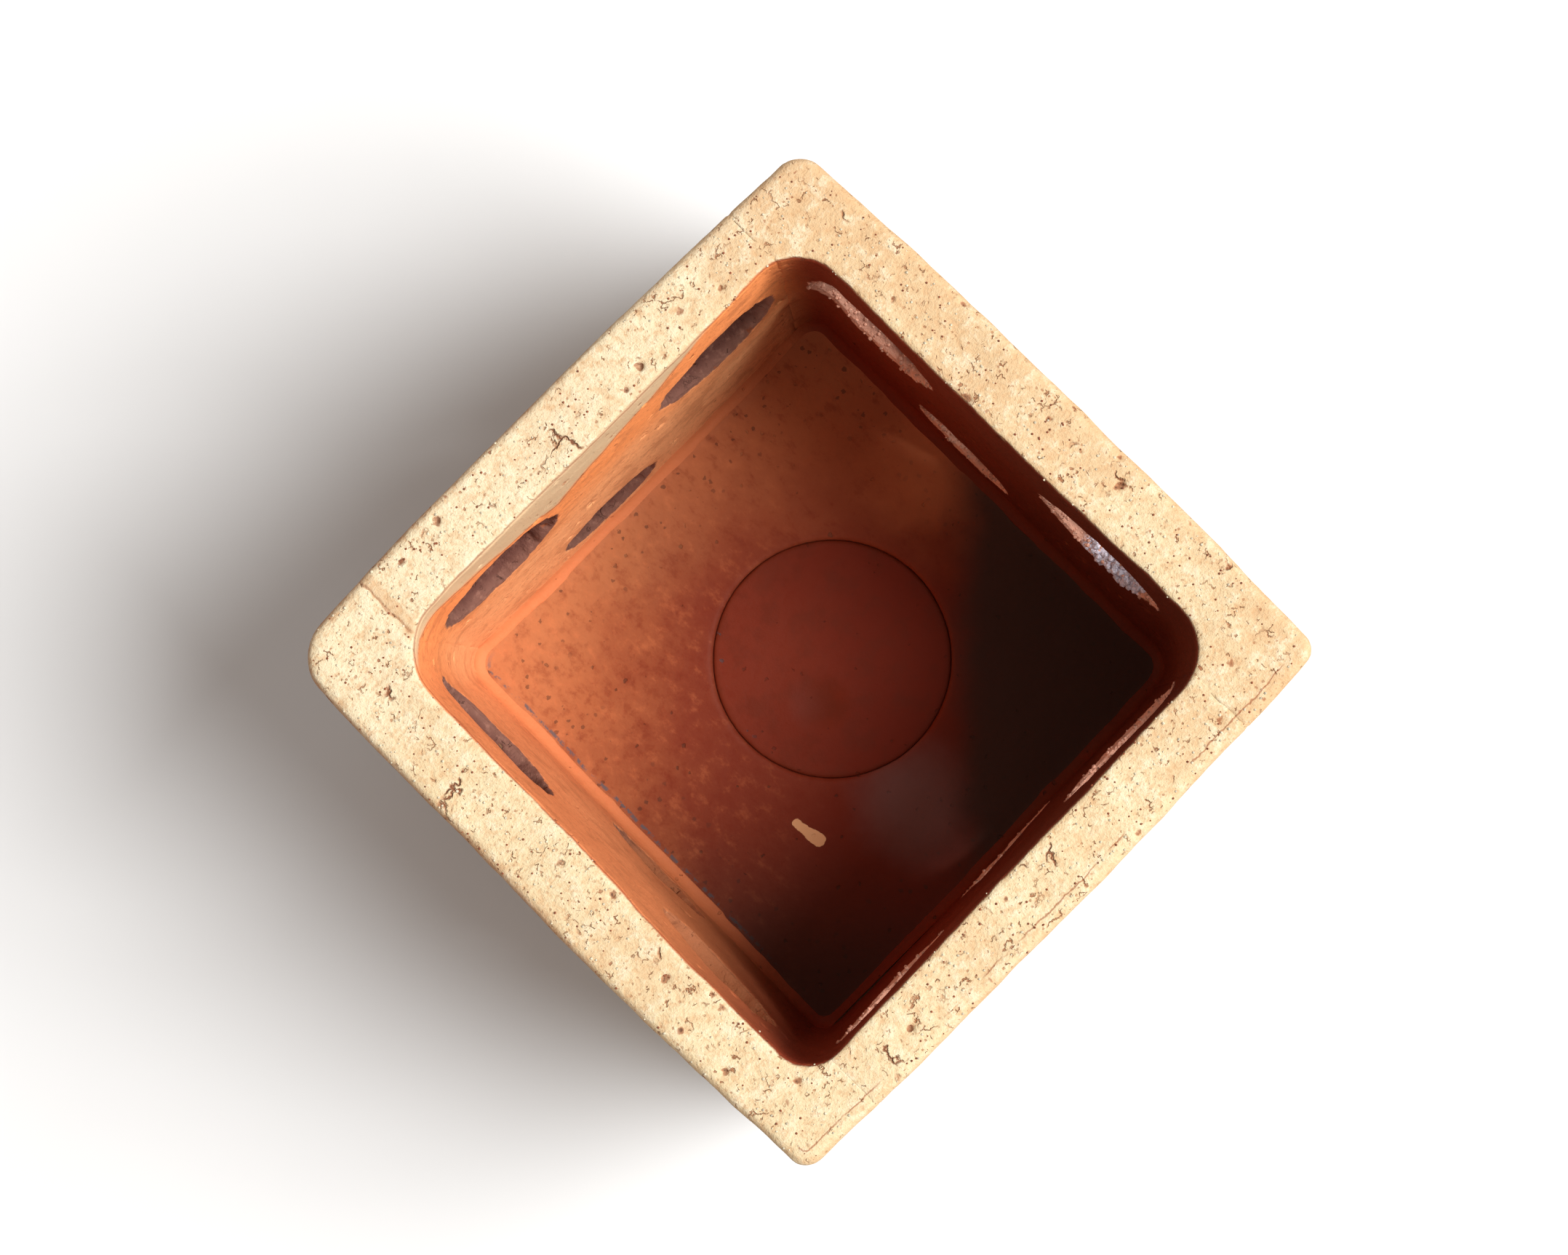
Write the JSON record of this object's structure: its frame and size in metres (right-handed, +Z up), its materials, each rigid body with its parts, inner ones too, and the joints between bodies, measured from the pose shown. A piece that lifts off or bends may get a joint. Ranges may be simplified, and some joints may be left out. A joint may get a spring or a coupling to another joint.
{
  "type": "bonsai pot",
  "caption": "Square slab-built stoneware bonsai pot with round pierced windows in its thick walls and a loose drain disc in the floor.",
  "frame": {"origin": "on the ground under the middle of the pot", "axes": "+Z up; the walls are parallel to X and Y, east is +X and north is +Y"},
  "size_m": [0.11, 0.11, 0.1],
  "materials": {
    "wall_clay": "unglazed grogged stoneware, iron wash inside",
    "floor_clay": "stoneware under a semi-gloss iron wash",
    "coil_wash": "semi-gloss iron wash",
    "foot_clay": "unglazed grogged stoneware",
    "disc_wash": "semi-gloss iron wash"
  },
  "bodies": {
    "pot": {"floor_slab": "floor_clay", "wall_slab_east": "wall_clay", "wall_slab_north": "wall_clay", "wall_slab_west": "wall_clay", "wall_slab_south": "wall_clay", "foot_coil_east": "coil_wash", "foot_coil_north": "coil_wash", "foot_coil_west": "coil_wash", "foot_coil_south": "coil_wash", "foot_ne": "foot_clay", "foot_nw": "foot_clay", "foot_sw": "foot_clay", "foot_se": "foot_clay"},
    "drain_disc": {"drain_disc": "disc_wash"}
  },
  "joints": [
    {"name": "drain_disc_lift", "type": "slide", "parent": "pot", "child": "drain_disc", "axis": [0, 0, 1], "range_m": [0, 0.11]}
  ]
}
